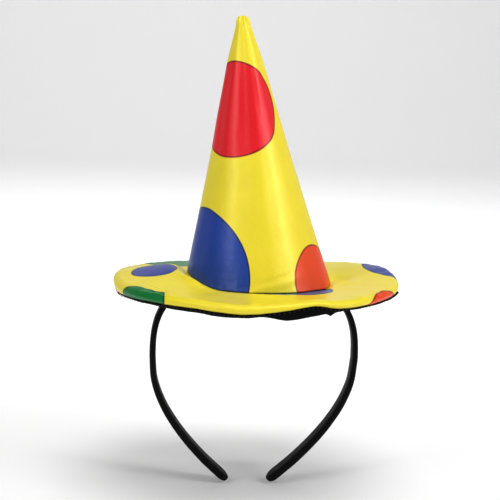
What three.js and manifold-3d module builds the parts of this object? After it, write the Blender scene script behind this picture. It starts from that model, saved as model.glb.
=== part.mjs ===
// Clown headband: a small satin party hat carried by a fabric-covered head hoop.
// Millimetres, +Z up. The origin is the middle of the black lining's underside,
// where the hat sits on the head. +X is the wearer's side seen on the right from the front, -Y is the front.
import * as THREE from 'three';
import { mergeVertices } from 'three/addons/utils/BufferGeometryUtils.js';
import Module from 'manifold-3d';

const wasm = await Module();
wasm.setup();

// Brim sizes
const brimRadius = 85.5;
const brimHoleRadius = 39.6;
const holeBlend = 1.3;
const brimLevel = 5.2;
const rimThickness = 5.6;
const rimRoll = 4.4;
const rimTurnUnder = 5.6;
const rollStart = 0.42 * Math.PI;
const satinWall = 1.0;

// Lining sizes
const liningWall = 1.2;
const liningInset = 2.1;
const liningTurnUp = 2.6;
const liningCornerWidth = 4.5;

// Cone sizes, the height taken from where the cone stands on the brim
const coneRadius = 43.9;
const coneHeight = 157.8;
const coneLean = 14.1;
const coneOffset = 1.4;
const coneSeatLevel = 4.3;
const coneSeatBlend = 30;
const fluteDepth = 0.9;
const fluteFadeRadius = 20;
const pleatDepth = 0.35;
const pleatCount = 9;
const pleatLength = 14;
const pleatFadeRadius = 2;

// Hoop sizes, its widths taken at the middle of the covered band
const hoopHalfWidth = 61.2;
const hoopWidestDrop = 41.5;
const archRise = 48.8;
const archPower = 2.8;
const armDrop = 77;
const hoopSway = 1.8;
const bandWidth = 14;
const bandThickness = 3.8;
const tipThickness = 4.9;
const tipThickening = 110;
const bandSquareness = 0.55;
const tipRound = 7;
const tipBlunt = 0.3;

// Clearances
const seamGap = 0.3;
const coneFootGap = 0.45;
const slitClearance = 0.4;

// Fineness of the faceted surfaces
const turnSteps = 64;
const bandSteps = 72;
const archSteps = 12;
const bandSides = 12;
const rollSteps = 6;
const floorSteps = 5;

// Folds of the brim
const ridgeHeight = 8.2;
const foldHeight = 1.6;

// Where the rim's waves, the sag of its underside and the lining's slack set in and are full
// from and to: shares of the radius
const ramps = {
  wave: { from: 0.6, to: 0.95 },
  sag: { from: 0.8, to: 0.93 },
  slack: { from: 0.52, to: 0.92 },
};

// Top of the brim from its hole to where the rim starts to roll
// out: share of the brim's radius, up: share of brimLevel
const brimSection = [
  { out: 0.509, up: 0.84 },
  { out: 0.545, up: 0.94 },
  { out: 0.595, up: 1.01 },
  { out: 0.7, up: 0.99 },
  { out: 0.82, up: 0.99 },
  { out: 0.9, up: 1.03 },
];

// The wavy rim, in degrees round from +X, as shares of rimThickness
// lift: height of the rim, sag: how much deeper its underside is, droop: how far the lining hangs below that
const rimWaves = [
  { angle: -180, lift: 0.36, sag: 0.3, droop: 0.28 },
  { angle: -168, lift: 0.22, sag: 0.55, droop: 0.28 },
  { angle: -150, lift: 0.04, sag: 0.22, droop: 0.28 },
  { angle: -138, lift: 0.06, sag: 0.06, droop: 0.32 },
  { angle: -118, lift: 0.1, sag: 0, droop: 0.44 },
  { angle: -108, lift: -0.08, sag: 0, droop: 0.42 },
  { angle: -98, lift: -0.18, sag: 0, droop: 0.34 },
  { angle: -90, lift: -0.02, sag: 0, droop: 0.36 },
  { angle: -80, lift: 0.32, sag: 0, droop: 1 },
  { angle: -70, lift: 0.62, sag: 0, droop: 1.06 },
  { angle: -60, lift: 0.28, sag: 0, droop: 0.4 },
  { angle: -45, lift: 0.24, sag: 0, droop: 0.28 },
  { angle: -25, lift: 0.4, sag: 0.08, droop: 0.4 },
  { angle: -8, lift: 0.62, sag: 0.4, droop: 0.7 },
  { angle: 8, lift: 0.9, sag: 0.12, droop: 0.32 },
  { angle: 20, lift: 1.04, sag: 0, droop: 0.28 },
  { angle: 40, lift: 0.68, sag: 0, droop: 0.28 },
  { angle: 65, lift: 0.1, sag: 0, droop: 0.28 },
  { angle: 90, lift: -0.15, sag: 0, droop: 0.28 },
  { angle: 120, lift: -0.05, sag: 0, droop: 0.28 },
  { angle: 145, lift: 0.2, sag: 0, droop: 0.28 },
  { angle: 165, lift: 0.34, sag: 0.1, droop: 0.28 },
  { angle: 180, lift: 0.36, sag: 0.3, droop: 0.28 },
];

// The broad ridge on the left of the brim, outwards from the cone
// out: share of the brim's radius, up: share of ridgeHeight
const ridgeSection = [
  { out: 0.44, up: 0.6 },
  { out: 0.51, up: 0.66 },
  { out: 0.57, up: 1 },
  { out: 0.69, up: 0.92 },
  { out: 0.79, up: 0.66 },
  { out: 0.92, up: 0.25 },
  { out: 1.02, up: 0 },
];
const ridgeAngle = 180;
const ridgeSpreadFront = 62;
const ridgeSpreadBack = 34;

// Smaller folds of the brim
// angle and spread in degrees, out and reach as shares of the brim's radius, up as a share of foldHeight
const brimFolds = [
  { angle: -2, spread: 5, out: 0.58, reach: 0.13, up: 0.6 },
  { angle: 16, spread: 11, out: 0.6, reach: 0.12, up: -0.9 },
  { angle: -28, spread: 12, out: 0.52, reach: 0.06, up: -0.5 },
  { angle: -70, spread: 8, out: 0.9, reach: 0.14, up: 0.35 },
  { angle: -128, spread: 9, out: 0.82, reach: 0.12, up: -0.45 },
  { angle: 70, spread: 14, out: 0.75, reach: 0.16, up: -0.4 },
  { angle: 118, spread: 10, out: 0.72, reach: 0.18, up: 0.5 },
];

// Outline of the cone, near its tip drawn in by the gathers
// up: share of coneHeight, out: share of coneRadius
const coneSection = [
  { up: 1, out: 0 },
  { up: 0.9985, out: 0.028 },
  { up: 0.996, out: 0.06 },
  { up: 0.981, out: 0.084 },
  { up: 0.965, out: 0.095 },
  { up: 0.948, out: 0.117 },
  { up: 0.9, out: 0.17 },
  { up: 0.83, out: 0.244 },
  { up: 0.66, out: 0.388 },
  { up: 0.44, out: 0.588 },
  { up: 0.2, out: 0.808 },
  { up: 0.08, out: 0.925 },
  { up: 0, out: 1 },
];

// Soft flutes down the cone, in degrees round from +X
// depth: share of fluteDepth, outwards when positive
const coneFlutes = [
  { angle: -150, spread: 12, depth: -0.7 },
  { angle: -121, spread: 11, depth: 0.5 },
  { angle: -99, spread: 9, depth: -1 },
  { angle: -68, spread: 14, depth: 0.6 },
  { angle: -38, spread: 11, depth: -0.8 },
  { angle: 32, spread: 13, depth: -0.7 },
  { angle: 90, spread: 6, depth: -0.6 },
  { angle: 138, spread: 14, depth: -0.7 },
];

// One arm of the hoop, from its widest place down to its tip
// down: share of armDrop, across: share of hoopHalfWidth
const armLine = [
  { down: 0.2, across: 0.97 },
  { down: 0.4, across: 0.868 },
  { down: 0.6, across: 0.703 },
  { down: 0.8, across: 0.481 },
  { down: 0.92, across: 0.318 },
  { down: 1, across: 0.2 },
];

const degrees = THREE.MathUtils.radToDeg;
const smoothRamp = THREE.MathUtils.smoothstep;

// Height of one column of a table at one place, on a smooth line through its rows
function readTable(rows, key, place, column) {
  const last = rows.length - 1;
  let row = 0;
  while (row < last - 1 && rows[row + 1][key] < place) row += 1;
  const span = rows[row + 1][key] - rows[row][key];
  const share = THREE.MathUtils.clamp((place - rows[row][key]) / span, 0, 1);
  const slope = (index) => {
    const before = rows[Math.max(index - 1, 0)];
    const after = rows[Math.min(index + 1, last)];
    return (span * (after[column] - before[column])) / (after[key] - before[key]);
  };
  const start = rows[row][column];
  const end = rows[row + 1][column];
  const square = share * share;
  const cube = square * share;
  return start * (2 * cube - 3 * square + 1) + slope(row) * (cube - 2 * square + share)
    + end * (3 * square - 2 * cube) + slope(row + 1) * (cube - square);
}

// Degrees from one direction to another, between -180 and 180
function turnBetween(from, to) {
  return THREE.MathUtils.euclideanModulo(to - from + 180, 360) - 180;
}

// A soft bump, one at its middle and nothing at twice its spread
function softBump(distance, spread) {
  const share = distance / spread;
  return Math.exp(-share * share);
}

// Lift of the brim above its plain section
function brimLift(radius, angle) {
  const out = radius / brimRadius;
  const fromRidge = turnBetween(ridgeAngle, angle);
  const spread = fromRidge > 0 ? ridgeSpreadFront : ridgeSpreadBack;
  const across = Math.min(Math.abs(fromRidge) / spread, 1);
  const ridge = Math.cos((across * Math.PI) / 2) ** 2;
  let lift = ridgeHeight * ridge * readTable(ridgeSection, 'out', out, 'up');
  for (const fold of brimFolds) {
    const aside = softBump(turnBetween(fold.angle, angle), fold.spread);
    lift += foldHeight * fold.up * aside * softBump(out - fold.out, fold.reach);
  }
  const wave = readTable(rimWaves, 'angle', angle, 'lift') * smoothRamp(out, ramps.wave.from, ramps.wave.to);
  return lift + rimThickness * wave;
}

// Extra depth of the rim's underside, which fades out towards the cone
function rimSag(radius, angle) {
  const share = smoothRamp(radius / brimRadius, ramps.sag.from, ramps.sag.to);
  return rimThickness * share * readTable(rimWaves, 'angle', angle, 'sag');
}

// Top of the brim's satin under the cone's foot
function brimTop(radius, angle) {
  const section = readTable(brimSection, 'out', radius / brimRadius, 'up');
  return brimLevel * section + brimLift(radius, angle);
}

// The far side of a wall: the outline moved square to itself by the wall's thickness
function offsetLine(points, thickness) {
  return points.map((point, index) => {
    const before = points[Math.max(index - 1, 0)];
    const after = points[Math.min(index + 1, points.length - 1)];
    const along = after.clone().sub(before).normalize();
    return new THREE.Vector2(point.x - along.y * thickness, point.y + along.x * thickness);
  });
}

// A closed body turned from a profile about the Z axis, with its shared corners merged
function turnedSolid(profile) {
  const lathe = new THREE.LatheGeometry(profile, turnSteps);
  lathe.rotateX(Math.PI / 2);
  return weld(lathe);
}

// One closed skin: shared corners merged and empty triangles left out
function weld(geometry) {
  geometry.deleteAttribute('normal');
  geometry.deleteAttribute('uv');
  const merged = mergeVertices(geometry);
  const corners = merged.getIndex().array;
  const kept = [];
  for (let corner = 0; corner < corners.length; corner += 3) {
    const [a, b, c] = corners.slice(corner, corner + 3);
    if (a !== b && b !== c && c !== a) kept.push(a, b, c);
  }
  merged.setIndex(kept);
  return merged;
}

// Moves every corner of a body by a function of its radius, angle and height
function shapeSolid(geometry, move) {
  const places = geometry.getAttribute('position');
  const place = new THREE.Vector3();
  for (let index = 0; index < places.count; index += 1) {
    place.fromBufferAttribute(places, index);
    const radius = Math.hypot(place.x, place.y);
    const moved = move(radius, degrees(Math.atan2(place.y, place.x)), place.z, place);
    places.setXYZ(index, moved.x, moved.y, moved.z);
  }
  geometry.computeVertexNormals();
  return geometry;
}

// A point at a radius, angle and height
function roundPoint(radius, angle, height) {
  const turn = THREE.MathUtils.degToRad(angle);
  return new THREE.Vector3(radius * Math.cos(turn), radius * Math.sin(turn), height);
}

function toManifold(geometry) {
  const vertProperties = Float32Array.from(geometry.getAttribute('position').array);
  const triVerts = Uint32Array.from(geometry.getIndex().array);
  return new wasm.Manifold(new wasm.Mesh({ numProp: 3, vertProperties, triVerts }));
}

function fromManifold(solid) {
  const mesh = solid.getMesh();
  const geometry = new THREE.BufferGeometry();
  geometry.setAttribute('position', new THREE.BufferAttribute(mesh.vertProperties, mesh.numProp));
  geometry.setIndex(new THREE.BufferAttribute(mesh.triVerts, 1));
  geometry.computeVertexNormals();
  return geometry;
}

// The satin brim: one wall from the hole over the top and round the rolled rim to its lower edge
function brimTopGeometry() {
  const rollCentre = new THREE.Vector2(brimRadius - rimRoll, rimThickness / 2);
  const roll = new THREE.EllipseCurve(
    rollCentre.x, rollCentre.y, rimRoll, rimThickness / 2, rollStart, -Math.PI / 2, true);
  const flange = new THREE.Vector2(brimHoleRadius, brimLevel * brimSection[0].up);
  const top = brimSection.map((row) => new THREE.Vector2(brimRadius * row.out, brimLevel * row.up));
  const edge = new THREE.Vector2(brimRadius - rimTurnUnder, 0);
  const outside = [flange, ...top, ...roll.getPoints(rollSteps), edge];
  const inside = offsetLine(outside, -satinWall).reverse();
  inside[inside.length - 1].x = brimHoleRadius;
  const profile = [...outside, ...inside, outside[0].clone()];
  return shapeSolid(turnedSolid(profile.reverse()), (radius, angle, height) => {
    const low = THREE.MathUtils.clamp(1 - height / rimThickness, 0, 1);
    const point = roundPoint(radius, angle, height + brimLift(radius, angle) - low * rimSag(radius, angle));
    point.x += coneOffset * (1 - smoothRamp(radius, brimHoleRadius, holeBlend * brimHoleRadius));
    return point;
  });
}

// Lower edge of the brim's satin, over the lining's edge
function satinEdge(angle) {
  const edgeRadius = brimRadius - liningInset;
  return brimLift(edgeRadius, angle) - rimSag(edgeRadius, angle);
}

// Height of the lining's underside at its edge
function liningEdge(angle) {
  return satinEdge(angle) - rimThickness * readTable(rimWaves, 'angle', angle, 'droop');
}

// The black lining: a slack disc with its edge turned up to the satin, and a slit for each arm of the hoop
function brimLiningGeometry() {
  const edgeRadius = brimRadius - liningInset;
  const corner = new THREE.EllipseCurve(
    edgeRadius - liningCornerWidth, liningTurnUp, liningCornerWidth, liningTurnUp, -Math.PI / 2, 0, false);
  const floor = [];
  for (let step = 0; step < floorSteps; step += 1) {
    floor.push(new THREE.Vector2((step / floorSteps) * corner.aX, 0));
  }
  const outside = [...floor, ...corner.getPoints(rollSteps)];
  const inside = offsetLine(outside, liningWall);
  inside[inside.length - 1].y = liningTurnUp;
  inside[0].x = 0;
  const profile = [...outside, ...inside.reverse()];
  const disc = shapeSolid(turnedSolid(profile), (radius, angle, height) => {
    const slack = liningEdge(angle) * smoothRamp(radius / edgeRadius, ramps.slack.from, ramps.slack.to);
    const turnUp = satinEdge(angle) - seamGap - liningEdge(angle);
    const share = THREE.MathUtils.clamp((height - liningWall) / (liningTurnUp - liningWall), 0, 1);
    const body = Math.min(height, liningWall);
    return roundPoint(radius, angle, slack + body + share * (turnUp - liningWall));
  });
  const cutter = weld(hoopStrip(slitClearance));
  return fromManifold(toManifold(disc).subtract(toManifold(cutter)));
}

// The satin cone: a thin wall, open below, that leans, is softly fluted and is gathered at its tip
function coneGeometry() {
  const outside = coneSection.map((row) =>
    new THREE.Vector2(coneRadius * row.out, coneSeatLevel + coneHeight * row.up));
  const inside = offsetLine(outside, -satinWall).filter((point) => point.x > satinWall);
  inside[inside.length - 1].y = coneSeatLevel;
  const innerTip = new THREE.Vector2(0, inside[0].y);
  const profile = [innerTip, ...inside, ...outside.reverse()];
  const taper = coneRadius / coneHeight;
  return shapeSolid(turnedSolid(profile), (radius, angle, height) => {
    const above = height - coneSeatLevel;
    const foot = roundPoint(radius, angle, 0);
    const footAngle = degrees(Math.atan2(foot.y, foot.x + coneOffset));
    const seat = brimTop(Math.hypot(foot.x + coneOffset, foot.y), footAngle) + coneFootGap - coneSeatLevel;
    const raise = seat * Math.max(0, 1 - above / coneSeatBlend);
    const flute = fluteAt(angle) * Math.min(1, radius / fluteFadeRadius);
    const gather = pleatAt(angle, coneHeight - above) * Math.min(1, radius / pleatFadeRadius);
    const point = roundPoint(radius - raise * taper + flute + gather, angle, height + raise);
    point.x += coneOffset - (coneLean * (above + raise)) / coneHeight;
    return point;
  });
}

function fluteAt(angle) {
  return coneFlutes.reduce((sum, flute) =>
    sum + fluteDepth * flute.depth * softBump(turnBetween(flute.angle, angle), flute.spread), 0);
}

// Small pleats that the gathering thread draws in round the tip
function pleatAt(angle, belowTip) {
  const fade = 1 - smoothRamp(belowTip, 0, pleatLength);
  return pleatDepth * fade * Math.cos(THREE.MathUtils.degToRad(angle) * pleatCount);
}

// The hoop's middle line, from the left tip over the arch to the right tip
function hoopLine() {
  const half = [];
  for (let step = 0; step <= archSteps; step += 1) {
    const turn = (step / archSteps) * (Math.PI / 2);
    const across = hoopHalfWidth * Math.sin(turn) ** (2 / archPower);
    const up = archRise * Math.abs(Math.cos(turn)) ** (2 / archPower);
    half.push(new THREE.Vector3(across, 0, up - hoopWidestDrop));
  }
  for (const row of armLine) {
    half.push(new THREE.Vector3(hoopHalfWidth * row.across, 0, -hoopWidestDrop - armDrop * row.down));
  }
  const mirrored = half.slice(1).reverse().map((point) => new THREE.Vector3(-point.x, 0, point.z));
  const whole = [...mirrored, ...half];
  for (const point of whole) point.x -= hoopSway * Math.max(0, (-point.z - hoopWidestDrop) / armDrop);
  return new THREE.CatmullRomCurve3(whole, false, 'centripetal');
}

// The band's section: nearly flat faces with soft round edges
function bandSection(grow) {
  const points = [];
  for (let side = 0; side < bandSides; side += 1) {
    const turn = ((side + 0.5) / bandSides) * 2 * Math.PI;
    const squared = (value) => Math.sign(value) * Math.abs(value) ** bandSquareness;
    points.push(new THREE.Vector2(
      (bandWidth / 2 + grow) * squared(Math.cos(turn)),
      (bandThickness / 2 + grow) * squared(Math.sin(turn))));
  }
  return new THREE.Shape(points);
}

// The band bent along the hoop's line, rounded off at both tips
function hoopStrip(grow) {
  const extrusion = { depth: 1, steps: bandSteps, bevelEnabled: false };
  const strip = new THREE.ExtrudeGeometry(bandSection(grow), extrusion);
  const line = hoopLine();
  const length = line.getLength();
  const places = strip.getAttribute('position');
  const place = new THREE.Vector3();
  for (let index = 0; index < places.count; index += 1) {
    place.fromBufferAttribute(places, index);
    const share = 0.5 - 0.5 * Math.cos(Math.PI * place.z);
    const fromTip = Math.min(share, 1 - share) * length;
    const narrow = 1 - Math.min(fromTip / tipRound, 1);
    const round = tipBlunt + (1 - tipBlunt) * Math.sqrt(1 - narrow * narrow);
    const middle = line.getPointAt(share);
    const along = line.getTangentAt(share);
    const swell = (tipThickness / bandThickness - 1) * (1 - smoothRamp(fromTip, 0, tipThickening));
    const thick = place.y * Math.sqrt(round) * (1 + swell);
    places.setXYZ(index, middle.x - along.z * thick, place.x * round, middle.z + along.x * thick);
  }
  return strip;
}

function headbandGeometry() {
  const strip = weld(hoopStrip(0));
  strip.computeVertexNormals();
  return strip;
}

function piece(name, geometry, look) {
  const mesh = new THREE.Mesh(geometry, new THREE.MeshStandardMaterial(look));
  mesh.name = name;
  return mesh;
}

const yellowSatin = { color: 0xf2de44, roughness: 0.42, metalness: 0 };
const blackCloth = { color: 0x131315, roughness: 0.85, metalness: 0 };
const blackBand = { color: 0x0d0d0f, roughness: 0.7, metalness: 0 };

const clownHeadband = new THREE.Group();
clownHeadband.name = 'clown_headband';
clownHeadband.add(piece('cone', coneGeometry(), yellowSatin));
clownHeadband.add(piece('brim_top', brimTopGeometry(), yellowSatin));
clownHeadband.add(piece('brim_lining', brimLiningGeometry(), blackCloth));
clownHeadband.add(piece('headband', headbandGeometry(), blackBand));

export default clownHeadband;
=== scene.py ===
"""Clown headband: a small satin party hat with big dots on a cloth-covered hoop.

Sizes are named in millimetres and placed in metres, +Z up, with the wearer's front towards -Y.
Directions are degrees round +Z from +X, so the front is -90.
The origin is the middle of the black lining's underside, where the hat sits on the head.
"""

import math
from collections import namedtuple

import bmesh
import bpy
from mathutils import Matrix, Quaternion, Vector, noise


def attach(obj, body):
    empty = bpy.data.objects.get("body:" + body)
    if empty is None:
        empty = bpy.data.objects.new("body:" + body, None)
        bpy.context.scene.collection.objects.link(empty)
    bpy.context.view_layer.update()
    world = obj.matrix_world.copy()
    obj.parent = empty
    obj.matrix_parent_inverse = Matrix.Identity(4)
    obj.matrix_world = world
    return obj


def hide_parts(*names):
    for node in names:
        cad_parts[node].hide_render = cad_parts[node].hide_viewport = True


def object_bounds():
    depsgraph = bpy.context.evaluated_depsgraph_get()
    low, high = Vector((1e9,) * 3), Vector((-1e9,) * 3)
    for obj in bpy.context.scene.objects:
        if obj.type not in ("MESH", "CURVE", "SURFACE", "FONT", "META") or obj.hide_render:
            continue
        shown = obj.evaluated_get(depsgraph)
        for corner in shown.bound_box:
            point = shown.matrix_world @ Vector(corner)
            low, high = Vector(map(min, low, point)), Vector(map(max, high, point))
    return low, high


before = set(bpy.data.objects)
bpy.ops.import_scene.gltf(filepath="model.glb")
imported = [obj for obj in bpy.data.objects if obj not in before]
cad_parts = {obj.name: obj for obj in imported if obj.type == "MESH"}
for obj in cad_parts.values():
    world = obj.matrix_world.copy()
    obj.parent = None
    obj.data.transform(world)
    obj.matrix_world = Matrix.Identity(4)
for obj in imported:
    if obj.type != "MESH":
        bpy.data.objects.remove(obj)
cad_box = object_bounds()

MM = 0.001
MERGE_DISTANCE = 0.02 * MM
FRONT = -90

# Brim
BRIM_RADIUS = 85.5
BRIM_HOLE = 39.6
HOLE_BLEND = 1.3
BRIM_LEVEL = 5.2
RIM_THICKNESS = 5.6
RIM_ROLL = 4.4
RIM_TURN_UNDER = 5.6
RIM_ROLL_START = 0.42 * math.pi
SATIN_WALL = 0.8
RIDGE_HEIGHT = 8.2
RIDGE_ANGLE = 180
RIDGE_FRONT = 62
RIDGE_BACK = 34
FOLD_HEIGHT = 1.6
BRIM_COLUMNS = 320
BRIM_STEPS = 58
ROLL_STEPS = 22

# Where the rim's waves, its sag and the lining's slack set in, as shares of the radius
WAVE_RUN = (0.6, 0.95)
SAG_RUN = (0.8, 0.93)
SLACK_RUN = (0.52, 0.92)

# Wrinkles of the brim: between which radii they set in or fade
COVERED_RUN = (44, 48)
FOOT_PUCKER_RUN = (44, 54)
RIM_PUCKER_RUN = (70, 82)
CREASE_WIDTH = 1.5
ROLL_SMOOTHING = 0.8

# The dart, a straight seam of the brim at the front left, where the green dot ends
DART_LINE = -55.0
DART_DEPTH = 0.7
DART_WIDTH = 1.1
DART_RUN = (30, 46)

# Ripples that follow the rim at the front left
RIPPLE_ANGLE = -134
RIPPLE_SPREAD = 17
RIPPLE_RUN = (66, 74)
RIPPLE_HEIGHT = 0.36
RIPPLE_TURNS = 1.75
RIPPLE_TILT = 0.06

# Lining
LINING_RADIUS = 83.4
LINING_WALL = 1.0
LINING_TURN_UP = 2.6
LINING_CORNER = 4.5
LINING_SOLID_WALL = 1.2
SEAM_GAP = 0.3
LINING_COLUMNS = 240
LINING_STEPS = 50
LINING_CORNER_STEPS = 12
LOOSE_START = (30, 60)
LOOSE_END = (79, 83)
LOOSE_HANG = 0.6
PULL_ANGLE = -16
PULL_SPREAD = 9
PULL_START = 79.5
PULL_OUT = 2.6
PULL_UP = 2.8
SLIT_MIDDLE = 42.2
SLIT_ROOM_ALONG = 0.4
SLIT_ROOM_ACROSS = 1.1
SLIT_REACH = 16
SLIT_CUT_DISTANCE = 0.0005 * MM

# Cone
CONE_RADIUS = 43.9
CONE_HEIGHT = 157.8
CONE_LEAN = 14.1
CONE_OFFSET = 1.4
CONE_SEAT = 4.3
CONE_FOOT_GAP = 0.45
CONE_SEAT_BLEND = 30
CONE_COLUMNS = 280
CONE_STEPS = 110
CONE_STEP_POWER = 1.15
FLUTE_DEPTH = 0.9
FLUTE_FULL_RADIUS = 20
CUT_APEX = 168.52
CUT_HALF_ANGLE = math.radians(14.6)
CUT_SIDE_STEP = 1e-7

# Pleats and gathers at the cone's tip
TIP_DIMPLE = 1.1
TIP_ROUNDNESS = 2.2
TIP_FULL_RADIUS = 2
PLEAT_DEPTH = 0.675
PLEAT_COUNT = 9
PLEAT_LENGTH = 14
PLEAT_UNEVENNESS = 0.5
GATHER_DEPTH = 0.2
GATHER_COUNT = 17
GATHER_RUN = (2, 8)
NOTCH_ANGLE = -88
NOTCH_SPREAD = 38
NOTCH_DEPTH = 1.6
NOTCH_DOWN = 1.6
NOTCH_REACH = 1.0
NOTCH_FULL_RADIUS = 1.2

# The seam up the cone's back, with its small puckers
SEAM_ANGLE = 90
SEAM_DEPTH = 0.55
SEAM_WIDTH = 0.8
SEAM_FULL_RADIUS = 6
SEAM_PUCKER = 0.18
SEAM_PUCKER_ASIDE = 2.2
SEAM_PUCKER_WIDTH = 1.6
SEAM_PUCKER_TURNS = 0.75
SEAM_PUCKER_FULL_RADIUS = 8

# The slanting fold where the front of the cone's foot is stitched down, with the cloth full below it
FOOT_PUCKER_HEIGHT = 13
SLANT_ANGLE = -77
SLANT_SPREAD = 20
SLANT_START_ANGLE = -94
SLANT_START_HEIGHT = 4.5
SLANT_RISE = 6.5 / 31
SLANT_FULLNESS = 0.45
SLANT_FULLNESS_DOWN = 3.2
SLANT_FULLNESS_REACH = 2.6
SLANT_DEPTH = 0.35
SLANT_WIDTH = 1.2

# Hoop
HOOP_HALF_WIDTH = 61.2
HOOP_DROP = 41.5
ARCH_RISE = 48.8
ARCH_POWER = 2.8
ARM_DROP = 77
HOOP_SWAY = 1.8
BAND_WIDTH = 14
BAND_THICKNESS = 3.8
TIP_THICKNESS = 4.9
TIP_THICKENING = 110
BAND_SQUARENESS = 0.55
TIP_ROUND = 7
BAND_COLUMNS = 28
BAND_STEPS = 300
ARCH_STEPS = 24
ARM_STEPS = 30
THICKNESS_UNEVENNESS = 0.035
WIDTH_UNEVENNESS = 0.012

# Stitches that hold the satin's edge to the lining
STITCH_COUNT = 190
STITCH_RADIUS = 84.2
STITCH_HEIGHT = 0.75
STITCH_BELOW = 0.5
STITCH_THICKNESS = 0.2
STITCH_OVERLAP = 0.25
STITCH_OUT = 0.32
STITCH_DOWN = 0.12

Section = namedtuple("Section", "out up")
Wave = namedtuple("Wave", "angle lift sag droop")
Fold = namedtuple("Fold", "angle spread out reach up")
Crease = namedtuple("Crease", "x y length tilt height")
Flute = namedtuple("Flute", "angle spread depth")
Pucker = namedtuple("Pucker", "height around along seed")
Ripple = namedtuple("Ripple", "height length seed")
Arm = namedtuple("Arm", "down across")
Dot = namedtuple("Dot", "across along radius paint patch")


def table(kind, *rows):
    return [kind(*row) for row in rows]


# Top of the brim: share of its radius, share of its level
BRIM_SECTION = table(
    Section, (0.463, 0.84), (0.509, 0.84), (0.545, 0.94), (0.595, 1.01), (0.7, 0.99), (0.82, 0.99),
    (0.9, 1.03), (0.961, 1.06),
)
# The wavy rim by its direction, as shares of its thickness
RIM_WAVES = table(
    Wave,
    (-180, 0.36, 0.3, 0.28), (-168, 0.22, 0.55, 0.28), (-150, 0.04, 0.22, 0.28), (-138, 0.06, 0.06, 0.32),
    (-118, 0.1, 0, 0.44), (-108, -0.08, 0, 0.42), (-98, -0.18, 0, 0.34), (-90, -0.02, 0, 0.36),
    (-80, 0.14, -0.18, 1.0), (-70, 0.28, -0.34, 1.06), (-60, 0.16, -0.12, 0.4), (-45, 0.24, 0, 0.28),
    (-25, 0.4, 0.08, 0.4), (-8, 0.62, 0.4, 0.7), (8, 0.9, 0.12, 0.32), (20, 1.04, 0, 0.28),
    (40, 0.68, 0, 0.28), (65, 0.1, 0, 0.28), (90, -0.15, 0, 0.28), (120, -0.05, 0, 0.28),
    (145, 0.2, 0, 0.28), (165, 0.34, 0.1, 0.28), (180, 0.36, 0.3, 0.28),
)
# The broad ridge on the left, outwards from the cone
RIDGE_SECTION = table(
    Section, (0.44, 0.6), (0.51, 0.66), (0.57, 1), (0.69, 0.92), (0.79, 0.66), (0.92, 0.25), (1.02, 0),
)
# Smaller folds of the brim, as shares of its radius and of the folds' height
BRIM_FOLDS = table(
    Fold, (-2, 5, 0.58, 0.13, 0.6), (16, 11, 0.6, 0.12, -0.9), (-28, 12, 0.52, 0.06, -0.5),
    (-70, 8, 0.9, 0.14, 0.35), (-128, 9, 0.82, 0.12, -0.45), (70, 14, 0.75, 0.16, -0.4),
    (118, 10, 0.72, 0.18, 0.5),
)
# Sharper crests and hollows near the cone's foot, in millimetres
FOOT_FOLDS = table(
    Fold, (-142, 15, 49, 3.2, 2.7), (-20, 9, 48.5, 3.2, 1.3), (-2, 3, 51, 6, 0.9), (14, 12, 51, 7.5, -2.0),
)
# The corner of the lining that hangs down at the front right, in millimetres
LINING_CORNER_FOLD = Fold(-61.5, 1.3, 79.5, 3, -1.6)
# Short creases of the brim: middle, half length, direction in radians, height
BRIM_CREASES = table(
    Crease, (58, -8, 8, 0.12, 0.5), (66, -19, 6, -0.35, 0.4), (48, -13, 5, 0.05, -0.4),
    (52, -26, 7, -0.2, 0.3),
    (-66, -47, 9, -0.9, 0.35), (20, -66, 10, 0.1, 0.3), (-24, -70, 12, -0.1, -0.3), (-30, -58, 9, -0.5, 0.25),
)
# The cone's outline from its foot up: share of its radius, share of its height
CONE_SECTION = table(
    Section, (1, 0), (0.925, 0.08), (0.808, 0.2), (0.588, 0.44), (0.388, 0.66), (0.244, 0.83), (0.17, 0.9),
    (0.117, 0.948), (0.095, 0.965), (0.084, 0.981), (0.06, 0.996), (0.028, 0.9985), (0, 1),
)
TIP_SHOULDER = CONE_SECTION[-3]
CONE_FLUTES = table(
    Flute, (-150, 12, -0.7), (-102, 13, -0.6), (-80, 5, 0.2), (-62, 13, 0.4), (-38, 11, -0.8), (32, 13, -0.7),
    (90, 6, -0.6), (138, 14, -0.7),
)
# One arm of the hoop below its widest place, as shares of its drop and of the hoop's half width
ARM_LINE = table(
    Arm, (0, 1.0), (0.2, 0.97), (0.4, 0.868), (0.6, 0.703), (0.8, 0.481), (0.92, 0.318), (1, 0.2),
)

# Uneven cloth round an axis: height, size of the noise round it, length of a wave along it, its place
RIM_PUCKERS = Pucker(0.42, 17.1, 26, 0)
FOOT_PUCKERS = Pucker(0.28, 14.4, 12, 7)
CONE_DENTS = Pucker(0.5, 1.6, 42, 0)
CONE_DENTS_FULL_RADIUS = 14
CONE_RIPPLES = Pucker(0.16, 4.5, 21, 4)
CONE_RIPPLES_FULL_RADIUS = 10
CONE_FOOT_PUCKERS = Pucker(0.3, 11, 15, 0)
# Uneven flat cloth: height, length of a wave, place in the noise
BRIM_RIPPLE = Ripple(0.34, 17, 3.1)
LINING_SAG = Ripple(0.55, 13, 5.5)
LINING_RIPPLE = Ripple(0.3, 5, 9.5)

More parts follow.
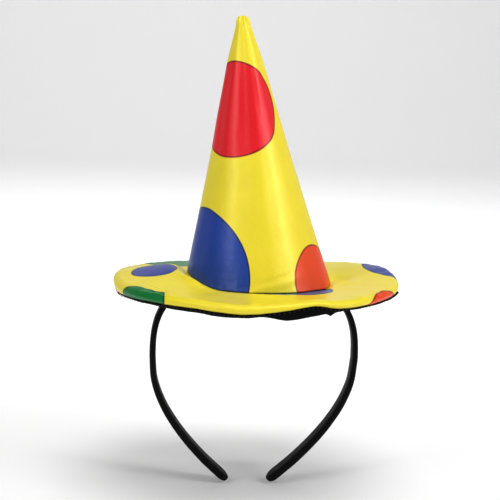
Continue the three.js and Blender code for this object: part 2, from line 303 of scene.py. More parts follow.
# Where the dots fall on the flat cut of the cone and on the brim's ring
# Rows of one patch join into one shape
CONE_DOTS = table(
    Dot,
    (-10.9, -66.0, 28.6, "red", "front"), (-50.3, -163.1, 43.5, "blue", "front"),
    (44.4, -166.2, 24.3, "orange", "front"), (60, -96, 21, "green", "side"), (-92, -88, 25, "orange", "back"),
    (104, -128, 27, "violet", "back"),
)
BRIM_DOTS = table(
    Dot,
    (-61.3, -9.3, 13.3, "violet", "left"), (-96, -70, 39.3, "green", "dart"),
    (-57, -64, 11.3, "green", "dart"), (-54, 69, 25.5, "green", "back"),
    (118, 32, 49.5, "violet", "right"), (95.8, -63.3, 32.3, "orange", "right"),
    (12, -22.5, 27, "teal", "foot"), (24, -30.5, 19, "teal", "foot"), (-10, 86, 17, "red", "back"),
    (24, 63, 14, "orange", "back"),
)
OUTLINE_SHADE = 0.35
OUTLINE_OUTER = (-0.6, -0.1)
OUTLINE_INNER = (0.4, 0.9)

PAINTS = {
    "yellow": (0.86, 0.72, 0.043),
    "red": (0.75, 0.012, 0.022),
    "blue": (0.013, 0.057, 0.35),
    "violet": (0.030, 0.060, 0.31),
    "teal": (0.010, 0.14, 0.33),
    "orange": (0.78, 0.075, 0.014),
    "green": (0.003, 0.19, 0.040),
}
THREAD_COLOUR = (0.035, 0.022, 0.012)
PAPER_COLOUR = (0.93, 0.93, 0.93)

# Paper sweep, in metres
PAPER_WIDTH = 30
PAPER_NEAR = 14.0
PAPER_FLAT = 2.2
PAPER_BEND = 1.0
PAPER_TOP = 2.6
PAPER_GAP = 0.0006
PAPER_GLOW = 0.06
PAPER_ROWS = 40
FLAT_SHARE, BEND_SHARE = 0.4, 0.8

# Tall soft boxes in a ring round the hat: degrees from its front, power in watts; places in metres
BOX_RING = {
    "left_side": (-70, 0.8),
    "left_front": (-45, 5.0),
    "right_front": (54, 7.2),
    "right_side": (84, 1.8),
}
BOX_DISTANCE = 1.45
BOX_HEIGHT = 0.75
BOX_SIZE = (0.46, 0.9)
BOX_AIM = (0, 0, 0.06)
Lamp = namedtuple("Lamp", "name place aim size power")
OTHER_LAMPS = table(
    Lamp,
    ("top_soft_box", (0.2, -0.4, 1.6), (0, 0, 0), (0.9, 0.9), 11),
    ("paper_lamp", (0, 0.5, 1.3), (0, 2.5, 0.45), (0.8, 0.4), 19),
)
ROOM_LIGHT = 0.23

# Camera: lens in millimetres, place in metres and degrees
LENS = 108
SENSOR = 36
LENS_SHIFT = -0.014
EYE_DISTANCE = 0.9
EYE_AIM = (0, 0, 0.0235)
EYE_SIDE, EYE_UP, EYE_ROLL = -3.5, 8.2, 1.8
NEAREST, FURTHEST = 0.01, 50


def clamp(value, low=0.0, high=1.0):
    return max(low, min(high, value))


def smooth_ramp(value, low, high):
    share = clamp((value - low) / (high - low))
    return share * share * (3 - 2 * share)


def turn_between(start, end):
    return (end - start + 180) % 360 - 180


def soft_bump(distance, spread):
    return math.exp(-((distance / spread) ** 2))


def read_table(rows, key, place, column):
    """One column of a table at one place, on a smooth line through its rows."""
    last = len(rows) - 1
    row = 0
    while row < last - 1 and getattr(rows[row + 1], key) < place:
        row += 1
    low, high = getattr(rows[row], key), getattr(rows[row + 1], key)
    share = clamp((place - low) / (high - low))

    def slope(index):
        before, after = rows[max(index - 1, 0)], rows[min(index + 1, last)]
        rise = getattr(after, column) - getattr(before, column)
        return (high - low) * rise / (getattr(after, key) - getattr(before, key))

    square, cube = share**2, share**3
    return (
        getattr(rows[row], column) * (2 * cube - 3 * square + 1)
        + slope(row) * (cube - 2 * square + share)
        + getattr(rows[row + 1], column) * (3 * square - 2 * cube)
        + slope(row + 1) * (cube - square)
    )


def rim_wave(angle, column):
    """A length of the wavy rim in one direction: its lift, its sag or the lining's droop."""
    return RIM_THICKNESS * read_table(RIM_WAVES, "angle", turn_between(0, angle), column)


def fold_height(fold, radius, angle):
    aside = soft_bump(turn_between(fold.angle, angle), fold.spread)
    return fold.up * aside * soft_bump(radius - fold.out, fold.reach)


def wander(*place):
    """Smooth noise between about -1 and 1."""
    return noise.noise(Vector(place))


def pucker_height(pucker, angle, along):
    turn = math.radians(angle)
    x, y = pucker.around * math.cos(turn), pucker.around * math.sin(turn)
    return pucker.height * wander(x, y, along / pucker.along + pucker.seed)


def ripple(kind, point):
    return wander(point.x / kind.length, point.y / kind.length, kind.seed)


def round_point(radius, angle, height):
    turn = math.radians(angle)
    return Vector((radius * math.cos(turn), radius * math.sin(turn), height))


# The brim's shape


def brim_lift(radius, angle):
    out = radius / BRIM_RADIUS
    from_ridge = turn_between(RIDGE_ANGLE, angle)
    spread = RIDGE_FRONT if from_ridge > 0 else RIDGE_BACK
    ridge = math.cos(min(abs(from_ridge) / spread, 1) * math.pi / 2) ** 2
    lift = RIDGE_HEIGHT * ridge * read_table(RIDGE_SECTION, "out", out, "up") if ridge > 0 else 0.0
    lift += FOLD_HEIGHT * sum(fold_height(fold, out, angle) for fold in BRIM_FOLDS)
    return lift + rim_wave(angle, "lift") * smooth_ramp(out, *WAVE_RUN)


def rim_sag(radius, angle):
    return rim_wave(angle, "sag") * smooth_ramp(radius / BRIM_RADIUS, *SAG_RUN)


def brim_section(radius):
    return BRIM_LEVEL * read_table(BRIM_SECTION, "out", radius / BRIM_RADIUS, "up")


def satin_edge(angle):
    return brim_lift(LINING_RADIUS, angle) - rim_sag(LINING_RADIUS, angle)


def lining_edge(angle):
    return satin_edge(angle) - rim_wave(angle, "droop")


def brim_wrinkles(point, radius, angle):
    """Fine puckers of the satin: at the rim's stitching, at the cone's foot and along the dart."""
    clear = smooth_ramp(radius, *COVERED_RUN)
    height = pucker_height(RIM_PUCKERS, angle, radius) * smooth_ramp(radius, *RIM_PUCKER_RUN)
    height += pucker_height(FOOT_PUCKERS, angle, radius) * clear * (1 - smooth_ramp(radius, *FOOT_PUCKER_RUN))
    height += BRIM_RIPPLE.height * clear * ripple(BRIM_RIPPLE, point)
    height += sum(fold_height(fold, radius, angle) for fold in FOOT_FOLDS)
    front_left = soft_bump(turn_between(RIPPLE_ANGLE, angle), RIPPLE_SPREAD)
    front_left *= smooth_ramp(radius, *RIPPLE_RUN)
    height += RIPPLE_HEIGHT * front_left * math.sin((radius + RIPPLE_TILT * point.x) * RIPPLE_TURNS)
    height -= DART_DEPTH * soft_bump(point.x - DART_LINE, DART_WIDTH) * smooth_ramp(-point.y, *DART_RUN)
    for crease in BRIM_CREASES:
        x, y = point.x - crease.x, point.y - crease.y
        along = x * math.cos(crease.tilt) + y * math.sin(crease.tilt)
        aside = y * math.cos(crease.tilt) - x * math.sin(crease.tilt)
        height += crease.height * soft_bump(along, crease.length) * soft_bump(aside, CREASE_WIDTH)
    return height


def brim_path():
    """The satin's line from the hole over the top and round the rim: radius, height, way from the middle."""
    middle_radius, middle_height = BRIM_RADIUS - RIM_ROLL, RIM_THICKNESS / 2
    roll_start = middle_radius + RIM_ROLL * math.cos(RIM_ROLL_START)
    line = []
    for step in range(BRIM_STEPS):
        radius = BRIM_HOLE + (roll_start - BRIM_HOLE) * step / BRIM_STEPS
        line.append((radius, brim_section(radius)))
    for step in range(ROLL_STEPS + 1):
        turn = RIM_ROLL_START - (RIM_ROLL_START + math.pi / 2) * step / ROLL_STEPS
        line.append((middle_radius + RIM_ROLL * math.cos(turn), middle_height * (1 + math.sin(turn))))
    line.append((BRIM_RADIUS - RIM_TURN_UNDER, 0.0))
    return with_way(line, BRIM_HOLE)


def with_way(line, start):
    """Adds to each point of a line its way along the cloth."""
    way, path = start, [(*line[0], start)]
    for (r0, h0), (r1, h1) in zip(line, line[1:]):
        way += math.hypot(r1 - r0, h1 - h0)
        path.append((r1, h1, way))
    return path


def brim_point(radius, height, angle):
    low = clamp(1 - height / RIM_THICKNESS)
    flat = round_point(radius, angle, 0)
    level = height + brim_lift(radius, angle) - low * rim_sag(radius, angle)
    level += brim_wrinkles(flat, radius, angle) * (1 - ROLL_SMOOTHING * low)
    flat.x += CONE_OFFSET * (1 - smooth_ramp(radius, BRIM_HOLE, HOLE_BLEND * BRIM_HOLE))
    return Vector((flat.x, flat.y, level))


# The lining's shape


def lining_path():
    flat = LINING_RADIUS - LINING_CORNER
    line = [(flat * step / LINING_STEPS, 0.0) for step in range(LINING_STEPS)]
    for step in range(LINING_CORNER_STEPS + 1):
        turn = math.pi / 2 * (step / LINING_CORNER_STEPS - 1)
        line.append((flat + LINING_CORNER * math.cos(turn), LINING_TURN_UP * (1 + math.sin(turn))))
    return with_way(line, 0.0)


def lining_point(radius, height, angle):
    slack = lining_edge(angle) * smooth_ramp(radius / LINING_RADIUS, *SLACK_RUN)
    turn_up = satin_edge(angle) - SEAM_GAP - lining_edge(angle)
    share = clamp((height - LINING_SOLID_WALL) / (LINING_TURN_UP - LINING_SOLID_WALL))
    level = slack + min(height, LINING_SOLID_WALL) + share * (turn_up - LINING_SOLID_WALL)
    flat = round_point(radius, angle, 0)
    loose = smooth_ramp(radius, *LOOSE_START) * (1 - smooth_ramp(radius, *LOOSE_END))
    level -= LINING_SAG.height * loose * (LOOSE_HANG + ripple(LINING_SAG, flat))
    level -= LINING_RIPPLE.height * loose * abs(ripple(LINING_RIPPLE, flat))
    level += fold_height(LINING_CORNER_FOLD, radius, angle)
    # at the right front the lining's edge is pulled up outside the satin
    pulled = soft_bump(turn_between(PULL_ANGLE, angle), PULL_SPREAD)
    pulled *= smooth_ramp(radius, PULL_START, LINING_RADIUS)
    flat *= 1 + PULL_OUT * pulled / LINING_RADIUS
    return Vector((flat.x, flat.y, level + PULL_UP * pulled))


# The cone's shape


def cone_path():
    """The satin's line from the tip down to the foot: radius, height above the foot, way from the tip."""
    line = [(0.0, CONE_HEIGHT - TIP_DIMPLE)]
    for share in (0.25, 0.5, 0.75):
        drop = (1 - TIP_SHOULDER.up) * share**TIP_ROUNDNESS
        line.append((CONE_RADIUS * TIP_SHOULDER.out * share, CONE_HEIGHT * (1 - drop)))
    for step in range(CONE_STEPS + 1):
        up = TIP_SHOULDER.up * (1 - step / CONE_STEPS) ** CONE_STEP_POWER
        line.append((CONE_RADIUS * read_table(CONE_SECTION, "up", up, "out"), CONE_HEIGHT * up))
    return with_way(line, 0.0)


def fades(radius, full):
    """A share that falls to nothing at the axis, so that the tip stays closed."""
    return min(1, radius / full)


def cone_wrinkles(radius, above, angle):
    turn = math.radians(angle)
    below_tip = CONE_HEIGHT - above
    flutes = sum(row.depth * soft_bump(turn_between(row.angle, angle), row.spread) for row in CONE_FLUTES)
    depth = FLUTE_DEPTH * flutes * fades(radius, FLUTE_FULL_RADIUS)
    depth += pucker_height(CONE_DENTS, angle, above) * fades(radius, CONE_DENTS_FULL_RADIUS)
    depth += pucker_height(CONE_RIPPLES, angle, above) * fades(radius, CONE_RIPPLES_FULL_RADIUS)
    depth += pucker_height(CONE_FOOT_PUCKERS, angle, above) * (1 - smooth_ramp(above, 0, FOOT_PUCKER_HEIGHT))
    depth += tip_gathers(turn, below_tip) * fades(radius, TIP_FULL_RADIUS)
    seam = math.radians(turn_between(SEAM_ANGLE, angle)) * radius
    depth -= SEAM_DEPTH * soft_bump(seam, SEAM_WIDTH) * fades(radius, SEAM_FULL_RADIUS)
    beside = soft_bump(abs(seam) - SEAM_PUCKER_ASIDE, SEAM_PUCKER_WIDTH)
    beside *= fades(radius, SEAM_PUCKER_FULL_RADIUS)
    depth += SEAM_PUCKER * beside * math.sin(above * SEAM_PUCKER_TURNS)
    from_slant = above - SLANT_START_HEIGHT - SLANT_RISE * (angle - SLANT_START_ANGLE)
    fullness = SLANT_FULLNESS * soft_bump(from_slant + SLANT_FULLNESS_DOWN, SLANT_FULLNESS_REACH)
    slanting_fold = fullness - SLANT_DEPTH * soft_bump(from_slant, SLANT_WIDTH)
    return depth + slanting_fold * soft_bump(turn_between(SLANT_ANGLE, angle), SLANT_SPREAD)


def tip_gathers(turn, below_tip):
    """Uneven pleats down from the tip, and finer gathers in its last few millimetres."""
    pleat = abs(math.cos(turn * PLEAT_COUNT / 2 + PLEAT_UNEVENNESS * math.sin(turn * 2))) - 0.5
    depth = PLEAT_DEPTH * pleat * (1 - smooth_ramp(below_tip, 0, PLEAT_LENGTH))
    return depth + GATHER_DEPTH * math.cos(GATHER_COUNT * turn) * (1 - smooth_ramp(below_tip, *GATHER_RUN))


def cone_point(radius, above, angle):
    foot = round_point(radius, angle, 0)
    foot.x += CONE_OFFSET
    foot_angle = math.degrees(math.atan2(foot.y, foot.x))
    foot_radius = math.hypot(foot.x, foot.y)
    seat = brim_section(foot_radius) + brim_lift(foot_radius, foot_angle) + CONE_FOOT_GAP - CONE_SEAT
    lift = seat * max(0.0, 1 - above / CONE_SEAT_BLEND)
    narrow = lift * CONE_RADIUS / CONE_HEIGHT
    level = CONE_SEAT + above + lift
    point = round_point(radius - narrow + cone_wrinkles(radius, above, angle), angle, level)
    point.x += CONE_OFFSET - CONE_LEAN * (above + lift) / CONE_HEIGHT
    notch = soft_bump(turn_between(NOTCH_ANGLE, angle), NOTCH_SPREAD)
    notch *= soft_bump(CONE_HEIGHT - above - NOTCH_DOWN, NOTCH_REACH)
    point.y += NOTCH_DEPTH * notch * fades(radius, NOTCH_FULL_RADIUS)
    return point


def cone_cut(above, angle):
    """The place on the cone's flat cut, with the front down its middle and the back seam at its edges."""
    if angle < 0:
        angle += CUT_SIDE_STEP
    far = (CUT_APEX - above) / math.cos(CUT_HALF_ANGLE)
    turn = math.radians(turn_between(FRONT, angle)) * math.sin(CUT_HALF_ANGLE)
    return far * math.sin(turn), -far * math.cos(turn)


# The hoop's shape


def hoop_line():
    """Evenly spaced points down the middle of the band, from left tip to right tip, and its length."""
    half = []
    for step in range(ARCH_STEPS + 1):
        turn = step / ARCH_STEPS * math.pi / 2
        across = HOOP_HALF_WIDTH * math.sin(turn) ** (2 / ARCH_POWER)
        half.append((across, ARCH_RISE * abs(math.cos(turn)) ** (2 / ARCH_POWER) - HOOP_DROP))
    for step in range(1, ARM_STEPS + 1):
        down = step / ARM_STEPS
        across = HOOP_HALF_WIDTH * read_table(ARM_LINE, "down", down, "across")
        half.append((across, -HOOP_DROP - ARM_DROP * down))
    whole = [(-across, up) for across, up in reversed(half[1:])] + half
    swayed = [Vector((x - HOOP_SWAY * max(0.0, (-z - HOOP_DROP) / ARM_DROP), 0, z)) for x, z in whole]
    return even_steps(swayed, BAND_STEPS)


def even_steps(points, steps):
    lengths = [0.0]
    for before, after in zip(points, points[1:]):
        lengths.append(lengths[-1] + (after - before).length)
    evened, index = [], 0
    for step in range(steps + 1):
        at = lengths[-1] * step / steps
        while index < len(points) - 2 and lengths[index + 1] < at:
            index += 1
        share = (at - lengths[index]) / (lengths[index + 1] - lengths[index])
        evened.append(points[index].lerp(points[index + 1], clamp(share)))
    return evened, lengths[-1]


# Making cloth


def ring_cloth(name, columns, path, place, cut, trim=None):
    """A grid of cloth closed into a ring: place gives a corner's point, cut its place on the flat pattern."""
    cloth = bmesh.new()
    pattern = cloth.loops.layers.uv.new("cut")
    bmesh.ops.create_grid(cloth, x_segments=columns, y_segments=len(path) - 1, size=0.5)
    turns = {vert: FRONT + 360 * vert.co.x for vert in cloth.verts}
    rows = {vert: path[round((vert.co.y + 0.5) * (len(path) - 1))] for vert in cloth.verts}
    for face in cloth.faces:
        for loop in face.loops:
            loop[pattern].uv = [MM * value for value in cut(*rows[loop.vert], turns[loop.vert])]
    for vert in cloth.verts:
        vert.co = MM * place(*rows[vert], turns[vert])
    bmesh.ops.remove_doubles(cloth, verts=cloth.verts, dist=MERGE_DISTANCE)
    if trim:
        trim(cloth)
    return as_piece(name, cloth)


def as_piece(name, shape):
    """Turns a bmesh into a smooth-shaded object whose faces point outwards."""
    bmesh.ops.recalc_face_normals(shape, faces=shape.faces)
    if outermost_sign(shape) < 0:
        bmesh.ops.reverse_faces(shape, faces=shape.faces)
    for face in shape.faces:
        face.smooth = True
    mesh = bpy.data.meshes.new(name)
    shape.to_mesh(mesh)
    shape.free()
    piece = bpy.data.objects.new(name, mesh)
    bpy.context.collection.objects.link(piece)
    return piece


def outermost_sign(shape):
    """Positive where the face furthest from the Z axis points away from it."""
    shape.normal_update()
    face = max(shape.faces, key=lambda one: one.calc_center_median().to_2d().length)
    centre = face.calc_center_median()
    return face.normal.dot(Vector((centre.x, centre.y, 0)))


def give_wall(piece, thickness):
    wall = piece.modifiers.new("wall", "SOLIDIFY")
    wall.thickness = thickness * MM
    wall.offset = -1.0
    wall.use_quality_normals = True
    return piece


def add_slits(shape):
    """Cuts a straight slit for the hoop's arm into each side of the lining."""
    half_length = BAND_WIDTH / 2 + SLIT_ROOM_ALONG
    half_width = BAND_THICKNESS / 2 + SLIT_ROOM_ACROSS
    for middle in (-SLIT_MIDDLE, SLIT_MIDDLE):
        low = Vector((middle - half_width, -half_length, 0))
        high = Vector((middle + half_width, half_length, 0))
        for corner, across in ((low, (1, 0, 0)), (high, (1, 0, 0)), (low, (0, 1, 0)), (high, (0, 1, 0))):
            near = [
                face for face in shape.faces
                if (face.calc_center_median().to_2d() - Vector((middle, 0)) * MM).length < SLIT_REACH * MM
            ]
            edges = {edge for face in near for edge in face.edges}
            verts = {vert for face in near for vert in face.verts}
            bmesh.ops.bisect_plane(
                shape, geom=[*near, *edges, *verts], dist=SLIT_CUT_DISTANCE,
                plane_co=corner * MM, plane_no=across,
            )
        inside = []
        for face in shape.faces:
            centre = face.calc_center_median() / MM
            if low.x < centre.x < high.x and low.y < centre.y < high.y:
                inside.append(face)
        bmesh.ops.delete(shape, geom=inside, context="FACES")


# Finishes


class Finish:
    """One procedural material, with a short way to add and join its nodes."""

    def __init__(self, name, **sockets):
        self.material = bpy.data.materials.new(name)
        self.material.use_nodes = True
        self.tree = self.material.node_tree
        self.shader = self.tree.nodes["Principled BSDF"]
        for socket, value in sockets.items():
            self.shader.inputs[socket.replace("_", " ")].default_value = value

    def add(self, kind, settings=None, **sockets):
        node = self.tree.nodes.new(kind)
        for name, value in (settings or {}).items():
            setattr(node, name, value)
        for socket, value in sockets.items():
            self.join(node.inputs[SOCKETS.get(socket, socket)], value)
        return node

    def join(self, socket, value):
        if isinstance(value, bpy.types.NodeSocket):
            self.tree.links.new(value, socket)
        else:
            socket.default_value = value

    def cut_place(self):
        return self.add("ShaderNodeUVMap", {"uv_map": "cut"}).outputs["UV"]

    def object_place(self):
        return self.add("ShaderNodeTexCoord").outputs["Object"]

    def ramp(self, value, low, high, to_low=0.0, to_high=1.0):
        return self.add(
            "ShaderNodeMapRange", from_low=low, from_high=high, to_low=to_low, to_high=to_high, value=value
        ).outputs["Result"]

    def mix(self, share, first, second):
        node = self.add("ShaderNodeMix", {"data_type": "RGBA"})
        self.join(node.inputs["Factor"], share)
        self.join(node.inputs[6], first)
        self.join(node.inputs[7], second)
        return node.outputs[2]

    def sum(self, kind, first, second):
        return self.add("ShaderNodeMath", {"operation": kind}, first=first, second=second).outputs[0]

    def noise(self, place, scale, detail=2.0, roughness=0.5):
        node = self.add("ShaderNodeTexNoise", place=place, scale=scale, detail=detail, rough=roughness)
        return node.outputs["Fac"]

    def bands(self, place, scale, direction):
        settings = {"wave_type": "BANDS", "bands_direction": direction}
        return self.add("ShaderNodeTexWave", settings, place=place, scale=scale).outputs["Fac"]

    def stretched(self, place, scale):
        return self.add("ShaderNodeMapping", place=place, stretch=scale).outputs["Vector"]

    def bump(self, height, distance, strength, normal=None):
        node = self.add("ShaderNodeBump", strength=strength, distance=distance, height=height)
        if normal is not None:
            self.join(node.inputs["Normal"], normal)
        return node.outputs["Normal"]


SOCKETS = {
    "from_low": "From Min", "from_high": "From Max", "to_low": "To Min", "to_high": "To Max",
    "value": "Value", "first": 0, "second": 1, "place": "Vector", "scale": "Scale", "detail": "Detail",
    "rough": "Roughness",
    "stretch": "Scale", "strength": "Strength", "distance": "Distance", "height": "Height",
}


def opaque(colour):
    return (*colour, 1.0)


def dark(colour, share):
    return opaque([value * share for value in colour])


def dotted_satin(name, dots, gloss):
    """Printed satin: a yellow ground with big dots, each with a thin dark outline."""
    satin = Finish(name, Metallic=0.06, Roughness=0.33, Anisotropic=0.3, Specular_IOR_Level=gloss)
    place = satin.cut_place()
    cloudy = satin.ramp(satin.noise(place, 70.0, 3.0), 0.3, 0.7)
    yellow = PAINTS["yellow"]
    colour = satin.mix(cloudy, dark(yellow, 0.95), opaque(yellow))
    for paint, patch in dict.fromkeys((dot.paint, dot.patch) for dot in dots):
        within = None
        for dot in dots:
            if (dot.paint, dot.patch) == (paint, patch):
                centre = (dot.across * MM, dot.along * MM, 0.0)
                away = satin.add(
                    "ShaderNodeVectorMath", {"operation": "DISTANCE"}, first=place, second=centre
                ).outputs["Value"]
                depth = satin.sum("SUBTRACT", dot.radius * MM, away)
                within = depth if within is None else satin.sum("MAXIMUM", within, depth)
        if patch == "dart":
            aside = satin.add("ShaderNodeSeparateXYZ", place=satin.object_place()).outputs["X"]
            within = satin.sum("MINIMUM", within, satin.sum("SUBTRACT", DART_LINE * MM, aside))
        outer, inner = [[MM * edge for edge in pair] for pair in (OUTLINE_OUTER, OUTLINE_INNER)]
        colour = satin.mix(satin.ramp(within, *outer), colour, dark(PAINTS[paint], OUTLINE_SHADE))
        colour = satin.mix(satin.ramp(within, *inner), colour, opaque(PAINTS[paint]))
    satin.join(satin.shader.inputs["Base Color"], colour)
    warp, weft = satin.bands(place, 700.0, "X"), satin.bands(place, 900.0, "Y")
    weave = satin.sum("ADD", satin.sum("MULTIPLY", warp, 0.7), satin.sum("MULTIPLY", weft, 0.3))
    threads = satin.noise(satin.stretched(place, (2600.0, 260.0, 1.0)), 1.0, 2.0)
    crumple = satin.noise(place, 150.0, 3.0, 0.55)
    normal = satin.bump(crumple, distance=0.6 * MM, strength=0.35)
    normal = satin.bump(threads, distance=0.08 * MM, strength=0.30, normal=normal)
    normal = satin.bump(weave, distance=0.04 * MM, strength=0.35, normal=normal)
    satin.join(satin.shader.inputs["Normal"], normal)
    satin.join(satin.shader.inputs["Roughness"], satin.ramp(threads, 0.2, 0.8, to_low=0.28, to_high=0.38))
    return satin.material


def black_felt(name):
    """Thin black lining cloth with a matted face."""
    felt = Finish(name, Roughness=0.92, Specular_IOR_Level=0.08)
    place = felt.cut_place()
    fibres = felt.noise(place, 1500.0, 4.0, 0.65)
    clouds = felt.noise(place, 90.0, 3.0)
    shade = felt.mix(felt.ramp(fibres, 0.35, 0.7), (0.002, 0.002, 0.002, 1), (0.009, 0.009, 0.009, 1))
    shade = felt.mix(felt.ramp(clouds, 0.2, 0.9, to_high=0.35), shade, (0.014, 0.013, 0.014, 1))
    felt.join(felt.shader.inputs["Base Color"], shade)
    normal = felt.bump(clouds, distance=0.8 * MM, strength=0.4)
    normal = felt.bump(fibres, distance=0.25 * MM, strength=0.7, normal=normal)
    felt.join(felt.shader.inputs["Normal"], normal)
    return felt.material


def black_ribbon(name):
    """The band's cover: closely ribbed black ribbon, a little shiny on its ribs."""
    ribbon = Finish(name, Roughness=0.55, Specular_IOR_Level=0.14)
    place = ribbon.cut_place()
    ribs = ribbon.bands(place, 330.0, "Y")
    threads = ribbon.noise(ribbon.stretched(place, (300.0, 3000.0, 1.0)), 1.0, 3.0)
    clouds = ribbon.noise(place, 120.0, 3.0)
    shade = ribbon.mix(ribs, (0.0015, 0.0015, 0.0015, 1), (0.006, 0.006, 0.006, 1))
    shade = ribbon.mix(ribbon.ramp(clouds, 0.3, 0.8, to_high=0.4), shade, (0.010, 0.010, 0.010, 1))
    ribbon.join(ribbon.shader.inputs["Base Color"], shade)
    ribbon.join(ribbon.shader.inputs["Roughness"], ribbon.ramp(threads, 0.3, 0.7, to_low=0.48, to_high=0.66))
    normal = ribbon.bump(clouds, distance=0.4 * MM, strength=0.3)
    normal = ribbon.bump(threads, distance=0.1 * MM, strength=0.4, normal=normal)
    normal = ribbon.bump(ribs, distance=0.18 * MM, strength=0.6, normal=normal)
    ribbon.join(ribbon.shader.inputs["Normal"], normal)
    return ribbon.material


def thread_finish(name, colour):
    thread = Finish(name, Roughness=0.6, Sheen_Weight=0.3, Sheen_Roughness=0.4)
    place = thread.object_place()
    twist = thread.noise(place, 2500.0, 2.0)
    thread.join(thread.shader.inputs["Base Color"], thread.mix(twist, dark(colour, 0.6), opaque(colour)))
    thread.join(thread.shader.inputs["Normal"], thread.bump(twist, distance=0.1 * MM, strength=0.6))
    return thread.material


def plain_paper(name, colour):
    paper = Finish(name, Roughness=0.9, Specular_IOR_Level=0.1, Emission_Strength=PAPER_GLOW)
    paper.shader.inputs["Emission Color"].default_value = opaque(colour)
    grain = paper.noise(paper.object_place(), 14.0, 2.0)
    paper.join(paper.shader.inputs["Base Color"], paper.mix(grain, dark(colour, 0.985), opaque(colour)))
    return paper.material


# The pieces


def make_cone():
    cone = ring_cloth(
        "cone_satin_cover", CONE_COLUMNS, cone_path(),
        lambda radius, above, way, angle: cone_point(radius, above, angle),
        lambda radius, above, way, angle: cone_cut(above, angle),
    )
    cone.data.materials.append(dotted_satin("dotted_satin_cone", CONE_DOTS, gloss=0.5))
    give_wall(cone, SATIN_WALL)
    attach(cone, "root")
    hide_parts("cone")
    return cone


def make_brim():
    brim = ring_cloth(
        "brim_satin_cover", BRIM_COLUMNS, brim_path(),
        lambda radius, height, way, angle: brim_point(radius, height, angle),
        lambda radius, height, way, angle: round_point(way, angle, 0)[:2],
    )
    brim.data.materials.append(dotted_satin("dotted_satin_brim", BRIM_DOTS, gloss=0.32))
    give_wall(brim, SATIN_WALL)
    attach(brim, "root")
    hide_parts("brim_top")
    return brim


def make_lining():
    lining = ring_cloth(
        "brim_lining_cloth", LINING_COLUMNS, lining_path(),
        lambda radius, height, way, angle: lining_point(radius, height, angle),
        lambda radius, height, way, angle: round_point(way, angle, 0)[:2],
        trim=add_slits,
    )
    lining.data.materials.append(black_felt("black_lining_felt"))
    give_wall(lining, LINING_WALL)
    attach(lining, "root")
    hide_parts("brim_lining")
    return lining


def make_headband():
    line, length = hoop_line()
    steps = len(line) - 1
    band = bmesh.new()
    pattern = band.loops.layers.uv.new("cut")
    bmesh.ops.create_grid(band, x_segments=BAND_COLUMNS, y_segments=steps, size=0.5)
    shares = {vert: (vert.co.x, vert.co.y + 0.5) for vert in band.verts}
    for face in band.faces:
        for loop in face.loops:
            side, along = shares[loop.vert]
            loop[pattern].uv = (side * 2 * (BAND_WIDTH + BAND_THICKNESS) * MM, along * length * MM)
    for vert, (side, along) in shares.items():
        eased = 0.5 - 0.5 * math.cos(math.pi * along)
        at = eased * steps
        index = min(int(at), steps - 1)
        middle = line[index].lerp(line[index + 1], at - index)
        tangent = (line[min(index + 2, steps)] - line[max(index - 1, 0)]).normalized()
        from_tip = min(eased, 1 - eased) * length
        narrow = 1 - min(from_tip / TIP_ROUND, 1)
        ball = math.sqrt(max(0.0, 1 - narrow * narrow))
        swell = (TIP_THICKNESS / BAND_THICKNESS - 1) * (1 - smooth_ramp(from_tip, 0, TIP_THICKENING))
        turn = 2 * math.pi * side + math.pi / 2
        cosine, sine = math.cos(turn), math.sin(turn)
        wide = BAND_WIDTH / 2 * math.copysign(abs(cosine) ** BAND_SQUARENESS, cosine) * ball
        thick = BAND_THICKNESS / 2 * math.copysign(abs(sine) ** BAND_SQUARENESS, sine)
        thick *= math.sqrt(ball) * (1 + swell)
        thick *= 1 + THICKNESS_UNEVENNESS * wander(along * 60, side * 3, 2.0)
        wide *= 1 + WIDTH_UNEVENNESS * wander(along * 75, 1.0, side * 3)
        vert.co = MM * Vector((middle.x - tangent.z * thick, wide, middle.z + tangent.x * thick))
    bmesh.ops.remove_doubles(band, verts=band.verts, dist=MERGE_DISTANCE)
    headband = as_piece("covered_headband", band)
    headband.data.materials.append(black_ribbon("black_ribbon_cover"))
    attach(headband, "root")
    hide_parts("headband")
    return headband


def make_rim_stitches():
    """Whip stitches that hold the satin's rolled edge to the lining all round."""
    stitches = bmesh.new()
    for index in range(STITCH_COUNT):
        angle = -180 + 360 * (index + 0.5) / STITCH_COUNT
        upper = brim_point(STITCH_RADIUS, STITCH_HEIGHT, angle)
        lower = lining_point(LINING_RADIUS, LINING_TURN_UP, angle)
        lower.z -= STITCH_BELOW
        out = round_point(STITCH_OUT, angle, -STITCH_DOWN)
        size = (STITCH_THICKNESS, STITCH_THICKNESS, (upper - lower).length / 2 + STITCH_OVERLAP)
        made = bmesh.ops.create_uvsphere(stitches, u_segments=6, v_segments=4, radius=1.0)["verts"]
        bmesh.ops.scale(stitches, verts=made, vec=Vector(size) * MM)
        turn = Vector((0, 0, 1)).rotation_difference(upper - lower).to_matrix()
        bmesh.ops.rotate(stitches, verts=made, cent=(0, 0, 0), matrix=turn)
        bmesh.ops.translate(stitches, verts=made, vec=((upper + lower) / 2 + out) * MM)
    piece = as_piece("rim_stitches", stitches)
    piece.data.materials.append(thread_finish("dark_thread", THREAD_COLOUR))
    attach(piece, "root")
    return piece


# Floor, light and camera


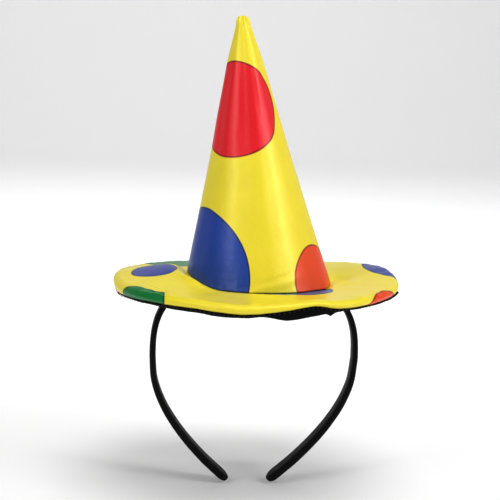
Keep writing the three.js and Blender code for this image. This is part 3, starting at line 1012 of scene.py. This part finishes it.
def make_studio():
    sweep = bmesh.new()
    bmesh.ops.create_grid(sweep, x_segments=2, y_segments=PAPER_ROWS, size=0.5)
    level = cad_box[0].z - PAPER_GAP
    for vert in sweep.verts:
        share = vert.co.y + 0.5
        x = vert.co.x * PAPER_WIDTH
        if share < FLAT_SHARE:
            vert.co = (x, -PAPER_NEAR + (PAPER_NEAR + PAPER_FLAT) * share / FLAT_SHARE, level)
        elif share < BEND_SHARE:
            turn = (share - FLAT_SHARE) / (BEND_SHARE - FLAT_SHARE) * math.pi / 2
            vert.co = (x, PAPER_FLAT + PAPER_BEND * math.sin(turn), level + PAPER_BEND * (1 - math.cos(turn)))
        else:
            rise = PAPER_TOP * (share - BEND_SHARE) / (1 - BEND_SHARE)
            vert.co = (x, PAPER_FLAT + PAPER_BEND, level + PAPER_BEND + rise)
    bmesh.ops.recalc_face_normals(sweep, faces=sweep.faces)
    for face in sweep.faces:
        face.smooth = True
    mesh = bpy.data.meshes.new("paper_sweep")
    sweep.to_mesh(mesh)
    sweep.free()
    floor = bpy.data.objects.new("paper_sweep", mesh)
    bpy.context.collection.objects.link(floor)
    mesh.materials.append(plain_paper("white_paper", PAPER_COLOUR))


def soft_box(name, place, target, size, power):
    light = bpy.data.lights.new(name, "AREA")
    light.shape = "RECTANGLE"
    light.size, light.size_y = size
    light.energy = power
    lamp = bpy.data.objects.new(name, light)
    lamp.location = place
    lamp.rotation_mode = "QUATERNION"
    lamp.rotation_quaternion = (Vector(target) - Vector(place)).to_track_quat("-Z", "Y")
    lamp.visible_camera = False
    bpy.context.collection.objects.link(lamp)


def make_lights():
    for name, (aside, power) in BOX_RING.items():
        place = round_point(BOX_DISTANCE, FRONT + aside, BOX_HEIGHT)
        soft_box(f"{name}_soft_box", place, BOX_AIM, BOX_SIZE, power)
    for lamp in OTHER_LAMPS:
        soft_box(*lamp)
    world = bpy.data.worlds.new("white_room")
    bpy.context.scene.world = world
    world.use_nodes = True
    world.node_tree.nodes["Background"].inputs["Color"].default_value = (1, 1, 1, 1)
    world.node_tree.nodes["Background"].inputs["Strength"].default_value = ROOM_LIGHT


def make_camera():
    camera = bpy.data.cameras.new("camera")
    camera.lens = LENS
    camera.sensor_width = SENSOR
    camera.shift_x = LENS_SHIFT
    camera.clip_start, camera.clip_end = NEAREST, FURTHEST
    eye = bpy.data.objects.new("camera", camera)
    side, up, roll = math.radians(EYE_SIDE), math.radians(EYE_UP), math.radians(EYE_ROLL)
    back = Vector((math.sin(side) * math.cos(up), -math.cos(side) * math.cos(up), math.sin(up)))
    eye.location = Vector(EYE_AIM) + EYE_DISTANCE * back
    eye.rotation_mode = "QUATERNION"
    eye.rotation_quaternion = (-back).to_track_quat("-Z", "Y") @ Quaternion((0, 0, 1), roll)
    bpy.context.collection.objects.link(eye)
    bpy.context.scene.camera = eye


make_camera()
make_lights()
make_studio()
make_brim()
make_lining()
make_cone()
make_headband()
make_rim_stitches()
bpy.context.scene.view_settings.view_transform = "Standard"
bpy.context.scene.view_settings.look = "Medium High Contrast"

bpy.context.view_layer.update()
